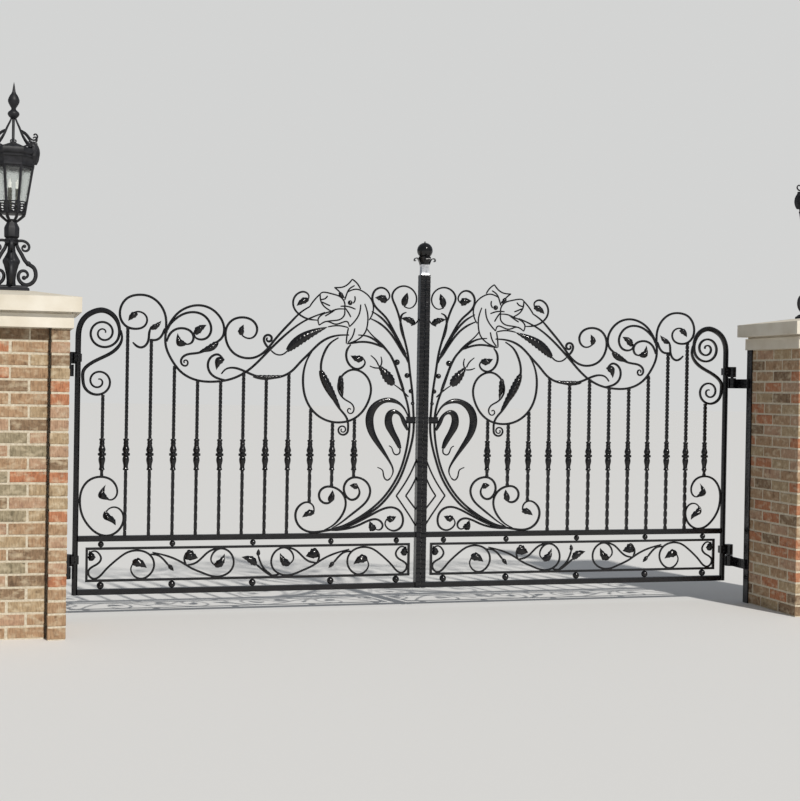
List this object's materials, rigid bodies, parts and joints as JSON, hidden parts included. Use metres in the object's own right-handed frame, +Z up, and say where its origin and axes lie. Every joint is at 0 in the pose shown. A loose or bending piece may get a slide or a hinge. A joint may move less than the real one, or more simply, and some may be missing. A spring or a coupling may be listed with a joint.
{
  "type": "wrought iron driveway gate",
  "caption": "Double-leaf wrought iron driveway gate with flowing scrollwork, hung between two brick piers with stone caps and glazed lanterns.",
  "frame": {"origin": "middle of the left pier's underside, on the ground", "axes": "+X along the gate from the left pier to the right pier, +Y into the driveway, +Z up"},
  "size_m": [5.6, 0.8794, 2.9428],
  "materials": {
    "gate_iron": "satin",
    "lantern_iron": "matte",
    "brick": "matte",
    "cap_stone": "matte",
    "lantern_glass": "gloss"
  },
  "bodies": {
    "piers": {"left_hinge_angle": "gate_iron", "left_pin_arms": "gate_iron", "left_pier": "brick", "left_cap_stones": "cap_stone", "left_lantern_stand": "lantern_iron", "left_lantern_cage": "lantern_iron", "left_lantern_glass": "lantern_glass", "left_lantern_crown": "lantern_iron", "right_hinge_angle": "gate_iron", "right_pin_arms": "gate_iron", "right_pier": "brick", "right_cap_stones": "cap_stone", "right_lantern_stand": "lantern_iron", "right_lantern_cage": "lantern_iron", "right_lantern_glass": "lantern_glass", "right_lantern_crown": "lantern_iron"},
    "left_leaf": {"left_hinge_stile": "gate_iron", "left_closing_bar": "gate_iron", "left_rails": "gate_iron", "left_pickets": "gate_iron", "left_knuckles": "gate_iron", "left_panel_frame": "gate_iron", "left_spacer_balls": "gate_iron", "left_panel_vine": "gate_iron", "left_top_scrolls": "gate_iron", "left_corner_scroll": "gate_iron", "left_fountain": "gate_iron", "left_chevrons": "gate_iron", "left_great_ring": "gate_iron", "left_lily": "gate_iron", "left_leaves": "gate_iron", "left_leaf_barrels": "gate_iron", "ball_finial": "gate_iron"},
    "right_leaf": {"right_hinge_stile": "gate_iron", "right_closing_bar": "gate_iron", "right_rails": "gate_iron", "right_pickets": "gate_iron", "right_knuckles": "gate_iron", "right_panel_frame": "gate_iron", "right_spacer_balls": "gate_iron", "right_panel_vine": "gate_iron", "right_top_scrolls": "gate_iron", "right_corner_scroll": "gate_iron", "right_fountain": "gate_iron", "right_chevrons": "gate_iron", "right_great_ring": "gate_iron", "right_lily": "gate_iron", "right_leaves": "gate_iron", "right_leaf_barrels": "gate_iron"}
  },
  "joints": [
    {"name": "left_leaf_swing", "type": "hinge", "parent": "piers", "child": "left_leaf", "pos_m": [0.331, 0.456, 0], "axis": [0, 0, 1], "range_deg": [0, 90]},
    {"name": "right_leaf_swing", "type": "hinge", "parent": "piers", "child": "right_leaf", "pos_m": [4.559, 0.456, 0], "axis": [0, 0, -1], "range_deg": [0, 90]}
  ]
}
